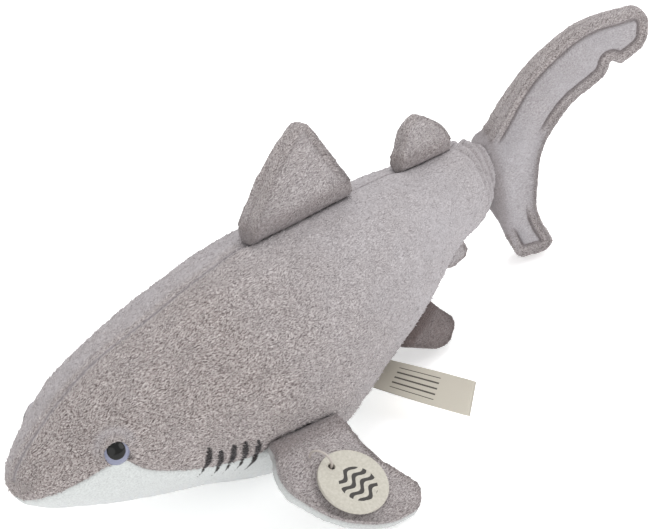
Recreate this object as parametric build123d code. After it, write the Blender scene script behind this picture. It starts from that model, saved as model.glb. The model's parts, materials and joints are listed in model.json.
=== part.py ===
"""Plush shark lying on its belly, built from sewn cloth panels, filling, eyes, fins and tags.

Millimetres. +X runs from the nose to the tail, +Z is up and the shark's left side faces -Y.
The origin is the centre of the flat patch of belly that rests on a table.
"""

from build123d import *
from math import asin, cos, radians, sin
import os

# Cloth and filling
cloth = 2.6  # backing and pile of the body cloth, squeezed by the seams
fin_cloth = 1.8  # the same cloth pulled thinner over the small fins
fill_gap = 0.15  # between the cloth and the filling
seat_gap = 0.3  # between a fin's round root and the skin it is sewn to
seat_depth = 0.9  # how far a root settles into the skin
seat_overrun = 0.8  # how far a seat runs past each end of a root

# Body
body_length = 288.0
body_width = 97.0
body_height = 95.0
nose_to_rest = 130.0  # from the nose back to the resting patch

# Body form from nose to tail: how far back, crown, keel and half width.
# The first is a share of the length, the next two of the height, the last of half the width.
body_sections = [
    (0.000, 0.670, 0.615, 0.05),
    (0.008, 0.725, 0.562, 0.18),
    (0.024, 0.765, 0.520, 0.27),
    (0.050, 0.810, 0.470, 0.37),
    (0.090, 0.870, 0.402, 0.49),
    (0.160, 0.940, 0.297, 0.66),
    (0.250, 0.968, 0.185, 0.83),
    (0.345, 0.985, 0.050, 0.95),
    (0.450, 1.000, -0.032, 1.00),
    (0.540, 0.985, 0.020, 0.94),
    (0.640, 0.945, 0.115, 0.83),
    (0.760, 0.880, 0.225, 0.66),
    (0.880, 0.812, 0.340, 0.45),
    (1.000, 0.722, 0.405, 0.27),
]

# Seam between the grey back and the white belly: share of the length, share of the height
belly_seam = [
    (-0.04, 0.606),
    (0.035, 0.628),
    (0.070, 0.652),
    (0.103, 0.670),
    (0.135, 0.596),
    (0.185, 0.500),
    (0.290, 0.380),
    (0.375, 0.345),
    (0.445, 0.265),
    (0.510, 0.130),
    (0.618, 0.158),
    (0.684, 0.163),
    (0.778, 0.252),
    (0.880, 0.360),
    (1.040, 0.440),
]

# Eyes: a dome on a ridged shank, held by a washer inside the cloth
eye_station = 32.5  # back from the nose
eye_rise = 18.0  # degrees above level, seen from the front
eye_radius = 6.0
eye_height = 4.0
eye_stand_off = 0.1
shank_radius = 2.0
shank_length = 13.0
shank_gap = 0.2
washer_radius = 5.6
washer_thickness = 1.2
washer_depth = 3.7
washer_bore_gap = 0.05
pocket_gap = 0.6

# Dorsal fin on the back and the small one behind it
dorsal_start = 141.5
dorsal_root = 61.0
dorsal_radius = 7.0
dorsal_tip_radius = 4.0
dorsal_height = 36.0
rear_dorsal_start = 234.0
rear_dorsal_root = 34.0
rear_dorsal_radius = 5.0
rear_dorsal_tip_radius = 3.6
rear_dorsal_height = 18.0

# Pectoral fins at the sides, lying on the table
pectoral_start = 91.5
pectoral_root = 36.0
pectoral_drop = 20.0  # degrees below level where the root meets the skin
pectoral_droop = 30.5  # degrees below level that the fin slopes
pectoral_radius = 6.0
pectoral_tip_radius = 4.0
pectoral_reach = 49.0

# Pelvic fins under the belly
pelvic_start = 197.0
pelvic_root = 27.0
pelvic_drop = 62.0
pelvic_droop = 72.0
pelvic_radius = 4.5
pelvic_tip_radius = 3.4
pelvic_reach = 20.0

# Anal fin under the tail stock
anal_start = 242.0
anal_root = 23.0
anal_radius = 3.8
anal_tip_radius = 3.0
anal_reach = 11.0

# Tail fin, resting bent towards the left
tail_rest_bend = 35.0  # degrees
tail_radius = 7.0
tail_tip_radius = 3.6
tail_reach = 84.0
tail_rise = 73.0  # upper lobe above the underside of the stock
tail_drop = 35.2  # lower lobe below the underside of the stock
tail_root = 28.0
tail_seat_depth = 1.0

# Round hang tag on a thread loop, lying on the left pectoral fin
tag_radius = 15.0
tag_thickness = 1.8
tag_hole_radius = 2.0
tag_hole_offset = 10.5
tag_gap = 0.5
loop_radius = 5.0
thread_radius = 0.5
loop_along_root = 11.5
loop_out = 13.5
tag_heading = 67.0  # degrees from the fin's root towards its tip

# Sewn label in the belly seam
label_width = 15.0
label_length = 49.0
label_thickness = 0.9
label_station = 178.0
label_drop = 57.0
label_stand_off = 0.8
label_twists = (4.0, 20.0, 44.0)  # degrees at the seam, half way and at the end
label_slope = 5.0  # degrees below level


def at(station):
    """The place along X of a distance behind the nose."""
    return station - nose_to_rest


def body_blank(inset):
    """The whole body drawn in by an inset all round, flat underneath."""
    half_width = body_width / 2
    rings = []
    for back, crown, keel, width in body_sections:
        across = width * half_width - inset
        up = (crown - keel) * body_height / 2 - inset
        if min(across, up) < inset:
            continue
        station = min(back * body_length, body_length - inset)
        middle = (crown + keel) * body_height / 2
        plane = Plane(origin=(at(station), 0, middle), x_dir=(0, 1, 0), z_dir=(1, 0, 0))
        rings.append(plane * Ellipse(across, up))
    return split(loft(rings), bisect_by=Plane.XY.offset(inset), keep=Keep.TOP)


def below_seam():
    """Everything below the belly seam, as a solid that spans the body."""
    points = [(at(share * body_length), rise * body_height) for share, rise in belly_seam]
    first, last = points[0], points[-1]
    floor = -body_height
    seam = Spline(*points)
    edges = seam + Polyline(last, (last[0], floor), (first[0], floor), first)
    return extrude(Plane.XZ * make_face(edges), amount=body_width, both=True)


def slope_out(droop):
    """Direction to the left that falls by an angle."""
    return Vector(0, -cos(radians(droop)), -sin(radians(droop)))


def skin_point(skin, station, drop):
    """Where a line from the body's axis leaves the skin, and the line's direction."""
    middle = body_height * axis_share(station / body_length)
    outward = slope_out(drop)
    line = Axis((at(station), 0, middle), outward)
    hits = skin.find_intersection_points(line)
    ahead = [hit[0] for hit in hits if (hit[0] - line.position).dot(outward) > 0]
    return max(ahead, key=lambda point: (point - line.position).length), outward


def axis_share(share):
    """Height of the body's middle line, as a share of its height."""
    for near, far in zip(body_sections, body_sections[1:]):
        if near[0] <= share <= far[0]:
            blend = (share - near[0]) / (far[0] - near[0])
            return ((1 - blend) * (near[1] + near[2]) + blend * (far[1] + far[2])) / 2
    return (body_sections[-1][1] + body_sections[-1][2]) / 2


def fin_frame(start, end, lean):
    """Plane of a fin: X along its root, Y out of the body, Z through its thickness."""
    along = (end - start).normalized()
    out = (lean - along * lean.dot(along)).normalized()
    return Plane(origin=start, x_dir=along, z_dir=along.cross(out))


def root_frame(skin, start, length, drop, radius, lean):
    """Frame of a fin whose round root settles into the skin between two stations."""
    ends = []
    for station in (start, start + length):
        point, outward = skin_point(skin, station, drop)
        ends.append(point + outward * (radius - seat_depth))
    return fin_frame(ends[0], ends[1], lean)


def teardrop(root_radius, tip_radius, reach):
    """Section of a fin: a round root, flat tapering sides and a round tip."""
    slant = asin((root_radius - tip_radius) / reach)
    root_x, root_y = root_radius * sin(slant), root_radius * cos(slant)
    tip_x, tip_y = reach + tip_radius * sin(slant), tip_radius * cos(slant)
    edges = ThreePointArc((root_x, root_y), (-root_radius, 0), (root_x, -root_y))
    edges += Line((root_x, -root_y), (tip_x, -tip_y))
    edges += ThreePointArc((tip_x, -tip_y), (reach + tip_radius, 0), (tip_x, tip_y))
    edges += Line((tip_x, tip_y), (root_x, root_y))
    return make_face(edges)


def rounded_outline(corners):
    """Closed outline through corners of (along the root, out, corner radius)."""
    face = make_face(Polyline(*[corner[:2] for corner in corners], close=True))
    for along, out, radius in corners:
        if radius:
            corner = face.vertices().sort_by_distance((along, out))[0]
            face = fillet(corner, radius)
    return face


def fin_blank(outline, root_radius, tip_radius, reach, inset):
    """The fin's solid drawn in by an inset all round, in the fin's own frame."""
    if inset:
        outline = offset(outline, amount=-inset, kind=Kind.INTERSECTION)
    plate = extrude(outline, amount=root_radius, both=True)
    section = Plane.YZ * teardrop(root_radius - inset, tip_radius - inset, reach)
    return plate & extrude(section, amount=3 * body_length, both=True)


def fin_pieces(frame, corners, root_radius, tip_radius, reach):
    """The two cloth panels of a fin, at minus and plus Z of its frame, and its filling."""
    outline = rounded_outline(corners)
    sizes = (root_radius, tip_radius, reach)
    cover = fin_blank(outline, *sizes, 0) - fin_blank(outline, *sizes, fin_cloth)
    back = split(cover, bisect_by=Plane.XY, keep=Keep.BOTTOM)
    front = split(cover, bisect_by=Plane.XY, keep=Keep.TOP)
    filling = fin_blank(outline, *sizes, fin_cloth + fill_gap)
    return [frame.location * piece for piece in (back, front, filling)]


def seat(frame, length, radius, overrun=seat_overrun):
    """The hollow that a fin's root needs in the skin."""
    rod = Cylinder(radius + seat_gap, length + 2 * overrun, rotation=(0, 90, 0))
    return frame.location * (Pos(length / 2, 0, 0) * rod)


def mirrored(piece):
    """The same piece on the shark's right side."""
    return mirror(piece, about=Plane.XZ)


def eye_frame(skin):
    """Plane that touches the skin at the left eye, its normal pointing out."""
    point, outward = skin_point(skin, eye_station, -eye_rise)
    ahead = skin_point(skin, eye_station - eye_radius, -eye_rise)[0]
    behind = skin_point(skin, eye_station + eye_radius, -eye_rise)[0]
    along = (behind - ahead).normalized()
    normal = (outward - along * outward.dot(along)).normalized()
    return Plane(origin=point, x_dir=along, z_dir=normal)


def eye_parts():
    """Eye, washer, hole through the cloth and pocket in the filling, in the eye's frame."""
    ball = (eye_radius**2 + eye_height**2) / (2 * eye_height)
    dome = Pos(0, 0, eye_stand_off + eye_height - ball) * Sphere(ball)
    dome = split(dome, bisect_by=Plane.XY.offset(eye_stand_off), keep=Keep.TOP)
    down = (Align.CENTER, Align.CENTER, Align.MAX)
    eye = dome + Pos(0, 0, eye_stand_off) * Cylinder(shank_radius, shank_length, align=down)
    disc = Pos(0, 0, -washer_depth) * Cylinder(washer_radius, washer_thickness, align=down)
    washer = disc - Cylinder(shank_radius + washer_bore_gap, 2 * shank_length)
    hole = Cylinder(shank_radius + shank_gap, 2 * (shank_length + pocket_gap))
    depth = washer_depth + washer_thickness + pocket_gap
    pocket = hole + Cylinder(washer_radius + pocket_gap, depth, align=down)
    return eye, washer, hole, pocket


def dorsal_corners():
    """Main dorsal fin: a full, round leading edge and a steep trailing edge."""
    root, high = dorsal_root, dorsal_height
    deep = -dorsal_radius - 1
    return [
        (0, deep, 0),
        (0, 0, 6),
        (0.27 * root, 0.60 * high, 60),
        (0.63 * root, 1.04 * high, 6),
        (root, 0, 5),
        (root, deep, 0),
    ]


def rear_dorsal_corners():
    """Small dorsal fin with a round, swept top."""
    root, high = rear_dorsal_root, rear_dorsal_height
    deep = -rear_dorsal_radius - 1
    return [
        (0, deep, 0),
        (0, 0, 4),
        (0.26 * root, 0.83 * high, 14),
        (0.68 * root, 1.03 * high, 10),
        (root, 0.62 * high, 8),
        (root, deep, 0),
    ]


def pectoral_corners():
    """Pectoral fin: a bulging leading edge and a broad end swept back."""
    root, reach = pectoral_root, pectoral_reach
    deep = -pectoral_radius - 1
    return [
        (0, deep, 0),
        (0, 0, 8),
        (-0.24 * root, 0.25 * reach, 18),
        (0.05 * root, 0.76 * reach, 28),
        (0.56 * root, reach, 28),
        (1.08 * root, reach, 8),
        (1.28 * root, 0.82 * reach, 5),
        (root, 0.40 * reach, 36),
        (root, deep, 0),
    ]


def pelvic_corners():
    """Pelvic fin: a small lobe swept back."""
    root, reach = pelvic_root, pelvic_reach
    deep = -pelvic_radius - 1
    return [
        (0, deep, 0),
        (0, 0, 3),
        (0.55 * root, 0.90 * reach, 11),
        (0.82 * root, reach, 7),
        (1.16 * root, 0.80 * reach, 4),
        (root, 0.10 * reach, 6),
        (root, deep, 0),
    ]


def anal_corners():
    """Anal fin: a smaller lobe swept back."""
    root, reach = anal_root, anal_reach
    deep = -anal_radius - 1
    return [
        (0, deep, 0),
        (0, 0, 2),
        (0.55 * root, 0.95 * reach, 9),
        (1.10 * root, reach, 3.5),
        (root, 0.1 * reach, 2),
        (root, deep, 0),
    ]


def tail_corners():
    """Tail fin: a long swept upper lobe with a notch near its end, and a short lower lobe."""
    rise, drop, reach = tail_rise, tail_drop, tail_reach
    deep = -tail_radius - 1
    return [
        (tail_root, deep, 0),
        (tail_root, 0, 13),
        (0.76 * rise, 0.26 * reach, 75),
        (0.99 * rise, 0.60 * reach, 46),
        (rise, 0.985 * reach, 7),
        (0.75 * rise, 0.96 * reach, 11),
        (0.66 * rise, 0.79 * reach, 1.5),
        (0.72 * rise, 0.74 * reach, 1.2),
        (0.62 * rise, 0.70 * reach, 7),
        (0.47 * rise, 0.45 * reach, 46),
        (0.24 * rise, 0.28 * reach, 38),
        (-0.40 * drop, 0.19 * reach, 28),
        (-0.90 * drop, 0.27 * reach, 3),
        (-drop, 0.22 * reach, 3),
        (-0.97 * drop, 0.05 * reach, 6),
        (-0.45 * drop, -0.01 * reach, 30),
        (0, deep, 0),
    ]


def tail_frame():
    """Upright frame of the tail fin at the end of the stock, turned by the rest bend."""
    underside = body_sections[-1][2] * body_height
    start = Vector(at(body_length) + tail_radius - tail_seat_depth, 0, underside)
    bend = radians(tail_rest_bend)
    return fin_frame(start, start + Vector(0, 0, 1), Vector(cos(bend), -sin(bend), 0))


def tag_frame(pectoral):
    """Frame at the thread loop's centre: X towards the tag's middle, Z off the fin."""
    slant = asin((pectoral_radius - pectoral_tip_radius) / pectoral_reach)
    thickness = (pectoral_radius - loop_out * sin(slant)) / cos(slant)
    lift = thickness + tag_gap + tag_thickness / 2 / cos(slant)
    centre = pectoral.from_local_coords(Vector(loop_along_root, loop_out, -lift))
    heading = radians(tag_heading)
    flat = Vector(cos(heading), sin(heading) * cos(slant), sin(heading) * sin(slant))
    normal = Vector(0, sin(slant), -cos(slant))
    origin = pectoral.from_local_coords(Vector(0, 0, 0))
    x_dir = pectoral.from_local_coords(flat) - origin
    z_dir = pectoral.from_local_coords(normal) - origin
    return Plane(origin=centre, x_dir=x_dir, z_dir=z_dir)


def tag_parts(frame):
    """The round tag with its hole, and the thread loop through it."""
    hole = Pos(loop_radius, 0, 0) * Cylinder(tag_hole_radius, 2 * tag_thickness)
    middle = loop_radius + tag_hole_offset
    disc = Pos(middle, 0, 0) * Cylinder(tag_radius, tag_thickness)
    loop = Torus(loop_radius, thread_radius, rotation=(90, 0, 0))
    return frame.location * (disc - hole), frame.location * loop


def label_frame(skin):
    """Frame at the label's seam: X along the seam, Y out along the label."""
    ends = []
    for station in (label_station - label_width / 2, label_station + label_width / 2):
        point, outward = skin_point(skin, station, label_drop)
        ends.append(point + outward * label_stand_off)
    return fin_frame(ends[0], ends[1], slope_out(label_slope))


def label_part(frame):
    """The folded tape, twisting a little as it leaves the seam."""
    rings = []
    for step, twist in enumerate(label_twists):
        out = step * label_length / (len(label_twists) - 1)
        plane = Plane(origin=(label_width / 2, out, 0), x_dir=(1, 0, 0), z_dir=(0, 1, 0))
        rings.append(plane * (Rot(0, 0, twist) * Rectangle(label_width, label_thickness)))
    return frame.location * loft(rings)


def fin_frames(skin):
    """The frame of each fin at rest; the side fins are the left ones."""
    up = Vector(0, 0, 1)
    dorsal = (dorsal_start, dorsal_root, -90, dorsal_radius, up)
    rear_dorsal = (rear_dorsal_start, rear_dorsal_root, -90, rear_dorsal_radius, up)
    anal = (anal_start, anal_root, 90, anal_radius, -up)
    pectoral_lean, pelvic_lean = slope_out(pectoral_droop), slope_out(pelvic_droop)
    pectoral = (pectoral_start, pectoral_root, pectoral_drop, pectoral_radius, pectoral_lean)
    pelvic = (pelvic_start, pelvic_root, pelvic_drop, pelvic_radius, pelvic_lean)
    return {
        "dorsal": root_frame(skin, *dorsal),
        "rear_dorsal": root_frame(skin, *rear_dorsal),
        "anal": root_frame(skin, *anal),
        "pectoral": root_frame(skin, *pectoral),
        "pelvic": root_frame(skin, *pelvic),
        "tail": tail_frame(),
    }


def seats(frames):
    """The hollows of every fin in the body's skin."""
    left = [
        seat(frames["pectoral"], pectoral_root, pectoral_radius),
        seat(frames["pelvic"], pelvic_root, pelvic_radius),
    ]
    middle = [
        seat(frames["dorsal"], dorsal_root, dorsal_radius),
        seat(frames["rear_dorsal"], rear_dorsal_root, rear_dorsal_radius),
        seat(frames["anal"], anal_root, anal_radius),
        seat(frames["tail"], tail_root, tail_radius, overrun=tail_root),
    ]
    return left + [mirrored(hollow) for hollow in left] + middle


def body_nodes(outer, frames):
    """Cloth panels, filling, eyes and washers of the body."""
    eye_place = eye_frame(outer.shell()).location
    eye, washer, hole, pocket = [eye_place * part for part in eye_parts()]
    shell = outer - body_blank(cloth) - [hole, mirrored(hole)] - seats(frames)
    below = below_seam()
    back = shell - below
    return {
        "belly_panel": shell & below,
        "back_panel_left": split(back, bisect_by=Plane.XZ, keep=Keep.TOP),
        "back_panel_right": split(back, bisect_by=Plane.XZ, keep=Keep.BOTTOM),
        "body_stuffing": body_blank(cloth + fill_gap) - [pocket, mirrored(pocket)],
        "eye_left": eye,
        "eye_right": mirrored(eye),
        "eye_washer_left": washer,
        "eye_washer_right": mirrored(washer),
    }


def middle_fin_nodes(frames):
    """Panels and filling of the fins on the shark's middle plane."""
    dorsal = (dorsal_corners(), dorsal_radius, dorsal_tip_radius, dorsal_height)
    rear = (rear_dorsal_corners(), rear_dorsal_radius, rear_dorsal_tip_radius, rear_dorsal_height)
    anal = (anal_corners(), anal_radius, anal_tip_radius, anal_reach)
    tail = (tail_corners(), tail_radius, tail_tip_radius, tail_reach)
    fins = [
        ("dorsal", "right", "left", dorsal),
        ("rear_dorsal", "right", "left", rear),
        ("anal", "left", "right", anal),
        ("tail", "left", "right", tail),
    ]
    nodes = {}
    for name, back, front, shape in fins:
        kinds = (f"panel_{back}", f"panel_{front}", "stuffing")
        for kind, piece in zip(kinds, fin_pieces(frames[name], *shape)):
            nodes[f"{name}_{kind}"] = piece
    return nodes


def side_fin_nodes(frames):
    """Panels and filling of the pectoral and pelvic fins, left and right."""
    pectoral = (pectoral_corners(), pectoral_radius, pectoral_tip_radius, pectoral_reach)
    pelvic = (pelvic_corners(), pelvic_radius, pelvic_tip_radius, pelvic_reach)
    nodes = {}
    for name, shape in (("pectoral", pectoral), ("pelvic", pelvic)):
        pieces = fin_pieces(frames[name], *shape)
        for kind, piece in zip(("top", "under", "stuffing"), pieces):
            nodes[f"{name}_left_{kind}"] = piece
            nodes[f"{name}_right_{kind}"] = mirrored(piece)
    return nodes


def build():
    """Every node by name, and a line for each hinge frame."""
    outer = body_blank(0)
    skin = outer.shell()
    frames = fin_frames(skin)
    nodes = body_nodes(outer, frames) | middle_fin_nodes(frames) | side_fin_nodes(frames)
    frames["tag"] = tag_frame(frames["pectoral"])
    frames["label"] = label_frame(skin)
    nodes["swing_tag"], nodes["tag_loop"] = tag_parts(frames["tag"])
    nodes["side_label"] = label_part(frames["label"])
    for name, frame in frames.items():
        print(name, frame.origin, "x", frame.x_dir, "y", frame.y_dir, "z", frame.z_dir)
    return nodes


os.makedirs("parts", exist_ok=True)
for node, solid in build().items():
    export_step(solid, f"parts/{node}.step")
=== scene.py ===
"""A plush shark in grey and white short-pile plush, lying on its belly on a pale floor.

Everything is in metres, in the CAD's frame: +Z is up, the nose points to -X and the
left side, with the hang tag and the side label, is at -Y.
"""

import json
import math

import bmesh
import bpy
from mathutils import Matrix, Vector, noise
from mathutils.bvhtree import BVHTree
from mathutils.kdtree import KDTree


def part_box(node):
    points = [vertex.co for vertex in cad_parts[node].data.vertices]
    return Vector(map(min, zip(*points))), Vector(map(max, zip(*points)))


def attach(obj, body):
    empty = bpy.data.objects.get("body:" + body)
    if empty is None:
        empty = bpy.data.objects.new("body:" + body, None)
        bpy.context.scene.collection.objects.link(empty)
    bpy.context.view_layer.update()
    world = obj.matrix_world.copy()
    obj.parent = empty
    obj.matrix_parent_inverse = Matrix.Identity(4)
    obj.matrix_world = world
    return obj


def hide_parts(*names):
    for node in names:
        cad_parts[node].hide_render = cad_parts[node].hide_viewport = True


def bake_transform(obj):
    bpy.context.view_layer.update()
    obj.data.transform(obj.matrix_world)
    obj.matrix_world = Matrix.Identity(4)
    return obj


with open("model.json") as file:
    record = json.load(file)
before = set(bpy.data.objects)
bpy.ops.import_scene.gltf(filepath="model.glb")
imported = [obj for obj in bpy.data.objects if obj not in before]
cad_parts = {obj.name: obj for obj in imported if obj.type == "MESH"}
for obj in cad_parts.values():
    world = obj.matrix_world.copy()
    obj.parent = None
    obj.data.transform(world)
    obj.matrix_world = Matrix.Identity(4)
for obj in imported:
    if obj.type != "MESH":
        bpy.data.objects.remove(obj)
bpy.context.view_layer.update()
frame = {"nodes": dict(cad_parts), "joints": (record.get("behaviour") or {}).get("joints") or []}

MM = 0.001
JOINTS = {joint["name"]: joint for joint in frame["joints"]}
SCENE = bpy.context.scene


# ---------------------------------------------------------------- small helpers


def collect(obj):
    """Puts a new object in the scene."""
    SCENE.collection.objects.link(obj)
    return obj


def piece_from(bm, name, *materials):
    """Turns a finished bmesh into a smooth-shaded piece."""
    mesh = bpy.data.meshes.new(name)
    bm.to_mesh(mesh)
    bm.free()
    mesh.shade_smooth()
    for material in materials:
        mesh.materials.append(material)
    return collect(bpy.data.objects.new(name, mesh))


def finished(obj, kind, **settings):
    """The bmesh of an object with one more modifier, which is then gone with the object."""
    modifier = obj.modifiers.new(kind.title(), kind)
    for name, value in settings.items():
        setattr(modifier, name, value)
    graph = bpy.context.evaluated_depsgraph_get()
    mesh = bpy.data.meshes.new_from_object(obj.evaluated_get(graph))
    bm = bmesh.new()
    bm.from_mesh(mesh)
    bpy.data.meshes.remove(mesh)
    bpy.data.objects.remove(obj)
    return bm


def cad_copy(*names):
    """A merged copy of some CAD nodes as one bmesh."""
    bm = bmesh.new()
    for name in names:
        bm.from_mesh(frame["nodes"][name].data)
    bmesh.ops.remove_doubles(bm, verts=bm.verts, dist=0.01 * MM)
    return bm


def smoothstep(low, high, value):
    """0 below low, 1 above high, and a soft step between them."""
    share = min(max((value - low) / (high - low), 0), 1)
    return share * share * (3 - 2 * share)


def bump_at(distance, width):
    """A bell of height 1, whose half width is the given one."""
    return math.exp(-((distance / width) ** 2))


def relax(bm, times):
    """Draws every vertex halfway towards the middle of its neighbours, some times over."""
    for _ in range(times):
        bmesh.ops.smooth_vert(
            bm, verts=bm.verts, factor=0.5, use_axis_x=True, use_axis_y=True, use_axis_z=True
        )


# ---------------------------------------------------------------- camera, floor and light


def set_camera():
    """A long lens from the front left and above, rolled a little."""
    back = Vector((-0.578, -0.646, 0.498)).normalized()
    yaw, roll = math.radians(41.81), math.radians(-12)
    level = Vector((math.cos(yaw), -math.sin(yaw), 0))
    rise = back.cross(level)
    right = level * math.cos(roll) + rise * math.sin(roll)
    up = rise * math.cos(roll) - level * math.sin(roll)
    data = bpy.data.cameras.new("camera")
    data.lens, data.sensor_width = 129.1, 36
    data.clip_start, data.clip_end = 0.05, 20
    camera = collect(bpy.data.objects.new("camera", data))
    turned = Matrix((right, up, back)).transposed().to_4x4()
    camera.matrix_world = Matrix.Translation(Vector((-535.0, -657.5, 567.7)) * MM) @ turned
    SCENE.camera = camera


def area_light(name, place, size, power):
    """A round white light that is turned to the toy."""
    data = bpy.data.lights.new(name, "AREA")
    data.shape, data.size, data.energy = "DISK", size, power
    light = collect(bpy.data.objects.new(name, data))
    light.location = place
    aim = Vector((0.03, 0, 0.05)) - Vector(place)
    light.rotation_euler = aim.to_track_quat("-Z", "Y").to_euler()


def set_stage():
    """A plain white floor, a bright even surround and three large soft lights."""
    SCENE.view_settings.view_transform = "Standard"
    bm = bmesh.new()
    bmesh.ops.create_grid(bm, x_segments=2, y_segments=2, size=6)
    floor = piece_from(bm, "floor", floor_paint())
    area_light("key", (0.7, 0.2, 1.5), 1.3, 14)
    area_light("fill_front", (-1.2, -0.7, 0.7), 1.6, 6)
    area_light("side", (0.9, -1.2, 0.8), 1.2, 6)
    world = bpy.data.worlds.new("surround")
    world.use_nodes = True
    world.node_tree.nodes["Background"].inputs["Color"].default_value = (1, 1, 1, 1)
    world.node_tree.nodes["Background"].inputs["Strength"].default_value = 0.81
    SCENE.world = world


# ---------------------------------------------------------------- materials


def linear(text):
    """An sRGB hex colour as linear RGBA."""
    values = [int(text[i : i + 2], 16) / 255 for i in (1, 3, 5)]
    return [*[v / 12.92 if v < 0.04045 else ((v + 0.055) / 1.055) ** 2.4 for v in values], 1]


def node(tree, kind, inputs=None, stops=None, **settings):
    """Adds a node with its settings, values and links."""
    made = tree.nodes.new(kind)
    for name, value in settings.items():
        setattr(made, name, value)
    for index, (place, colour) in enumerate(stops or []):
        elements = made.color_ramp.elements
        element = elements[index] if index < 2 else elements.new(place)
        element.position, element.color = place, linear(colour)
    for name, value in (inputs or {}).items():
        if isinstance(value, bpy.types.NodeSocket):
            tree.links.new(value, made.inputs[name])
        else:
            made.inputs[name].default_value = value
    return made


def new_material(name):
    """A material with its node tree and its principled shader."""
    material = bpy.data.materials.new(name)
    material.use_nodes = True
    tree = material.node_tree
    shader = tree.nodes["Principled BSDF"]
    return material, tree, shader


def floor_paint():
    """Matt white paper sweep: no gloss, an even bright ground."""
    material, _, shader = new_material("matt_white_paper")
    shader.inputs["Base Color"].default_value = linear("#ffffff")
    shader.inputs["Emission Color"].default_value = (1, 1, 1, 1)
    shader.inputs["Emission Strength"].default_value = 0.32
    shader.inputs["Roughness"].default_value = 1
    shader.inputs["Specular IOR Level"].default_value = 0
    return material


# Fibres clump into strands about half a millimetre apart. One fibre is too fine to show.
STRANDS_PER_M = 2150
SWAY = 8 * MM
# SEAM_SHADE is painted shade: the dark colour that the shade attribute mixes in, in seams, fold
# valleys, fin roots and over fins that lie in shadow. GILL_INK is the gill marks' print.
SEAM_SHADE, GILL_INK = "#5f5452", "#2c2928"


def streaks(tree, length_mm):
    """Object coordinates, and the height of short pile that lies in little wavy strands, from
    0 in the gaps to 1 at the tips."""
    place = node(tree, "ShaderNodeTexCoord").outputs["Object"]
    sway = node(tree, "ShaderNodeTexNoise", {"Vector": place, "Scale": 55, "Detail": 2})
    drift = node(
        tree, "ShaderNodeVectorMath", {0: sway.outputs["Color"], 1: (0.5, 0.5, 0.5)},
        operation="SUBTRACT",
    )
    swayed = node(
        tree, "ShaderNodeVectorMath", {0: drift.outputs[0], 1: (SWAY, SWAY, SWAY), 2: place},
        operation="MULTIPLY_ADD",
    )
    laid = node(
        tree, "ShaderNodeMapping",
        {"Vector": swayed.outputs[0], "Scale": (1.2 / length_mm, 1, 1)},
    )
    strand = node(
        tree, "ShaderNodeTexNoise",
        {
            "Vector": laid.outputs[0], "Scale": STRANDS_PER_M, "Detail": 2.5, "Roughness": 0.55,
            "Distortion": 0.5,
        },
    )
    return place, strand.outputs["Fac"]


def plush(name, gap, tip, smooth_low, smooth_high, length_mm, depth_mm):
    """Short-pile polyester plush. Where the nap is roughed up it shows strands with light tips
    and dark gaps, and where it is brushed flat it is even and paler. No gloss, a soft sheen."""
    material, tree, shader = new_material(name)
    place, height = streaks(tree, length_mm)
    rough = node(tree, "ShaderNodeAttribute", attribute_name="rough").outputs["Fac"]
    shade = node(tree, "ShaderNodeAttribute", attribute_name="shade").outputs["Fac"]
    ink = node(tree, "ShaderNodeAttribute", attribute_name="ink").outputs["Fac"]
    strands = node(
        tree, "ShaderNodeValToRGB", {"Fac": height},
        [(0.33, gap), (0.5, mid_colour(gap, tip, 0.62)), (0.67, tip)],
    )
    brushed = node(
        tree, "ShaderNodeValToRGB", {"Fac": height}, [(0.3, smooth_low), (0.7, smooth_high)]
    )
    patches = node(tree, "ShaderNodeTexNoise", {"Vector": place, "Scale": 45, "Detail": 3})
    patchy = node(
        tree, "ShaderNodeMapRange",
        {
            "Value": patches.outputs["Fac"], "From Min": 0.3, "From Max": 0.7, "To Min": -0.1,
            "To Max": 0.1,
        },
    )
    roughed = node(
        tree, "ShaderNodeMath", {0: rough, 1: patchy.outputs[0]}, operation="ADD", use_clamp=True
    )
    pile = node(
        tree, "ShaderNodeMix",
        {0: roughed.outputs[0], 6: brushed.outputs["Color"], 7: strands.outputs["Color"]},
        data_type="RGBA",
    )
    # Painted shade: where the shade attribute is high, the pile's colour is darkened towards
    # SEAM_SHADE.
    in_shade = node(
        tree, "ShaderNodeMix", {0: shade, 6: pile.outputs[2], 7: linear(SEAM_SHADE)},
        data_type="RGBA",
    )
    frayed = node(tree, "ShaderNodeMath", {0: height, 1: 1.3, 2: ink}, operation="MULTIPLY_ADD")
    cover = node(
        tree, "ShaderNodeMapRange", {"Value": frayed.outputs[0], "From Min": 1.0, "From Max": 1.35}
    )
    colour = node(
        tree, "ShaderNodeMix",
        {0: cover.outputs[0], 6: in_shade.outputs[2], 7: linear(GILL_INK)}, data_type="RGBA",
    )
    lift = node(
        tree, "ShaderNodeMapRange", {"Value": roughed.outputs[0], "To Min": 0.35, "To Max": 1.0}
    )
    tall = node(tree, "ShaderNodeMath", {0: height, 1: lift.outputs[0]}, operation="MULTIPLY")
    relief = node(
        tree, "ShaderNodeBump",
        {"Height": tall.outputs[0], "Strength": 1.0, "Distance": depth_mm * MM},
    )
    tree.links.new(colour.outputs[2], shader.inputs["Base Color"])
    tree.links.new(relief.outputs[0], shader.inputs["Normal"])
    shader.inputs["Roughness"].default_value = 0.95
    shader.inputs["Specular IOR Level"].default_value = 0.1
    shader.inputs["Sheen Weight"].default_value = 0.3
    shader.inputs["Sheen Roughness"].default_value = 0.4
    shader.inputs["Sheen Tint"].default_value = linear("#ece8ee")
    return material


def mid_colour(low, high, share):
    """An sRGB hex colour between two others."""
    pairs = [(int(low[i : i + 2], 16), int(high[i : i + 2], 16)) for i in (1, 3, 5)]
    return "#" + "".join(f"{round(a + (b - a) * share):02x}" for a, b in pairs)


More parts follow.
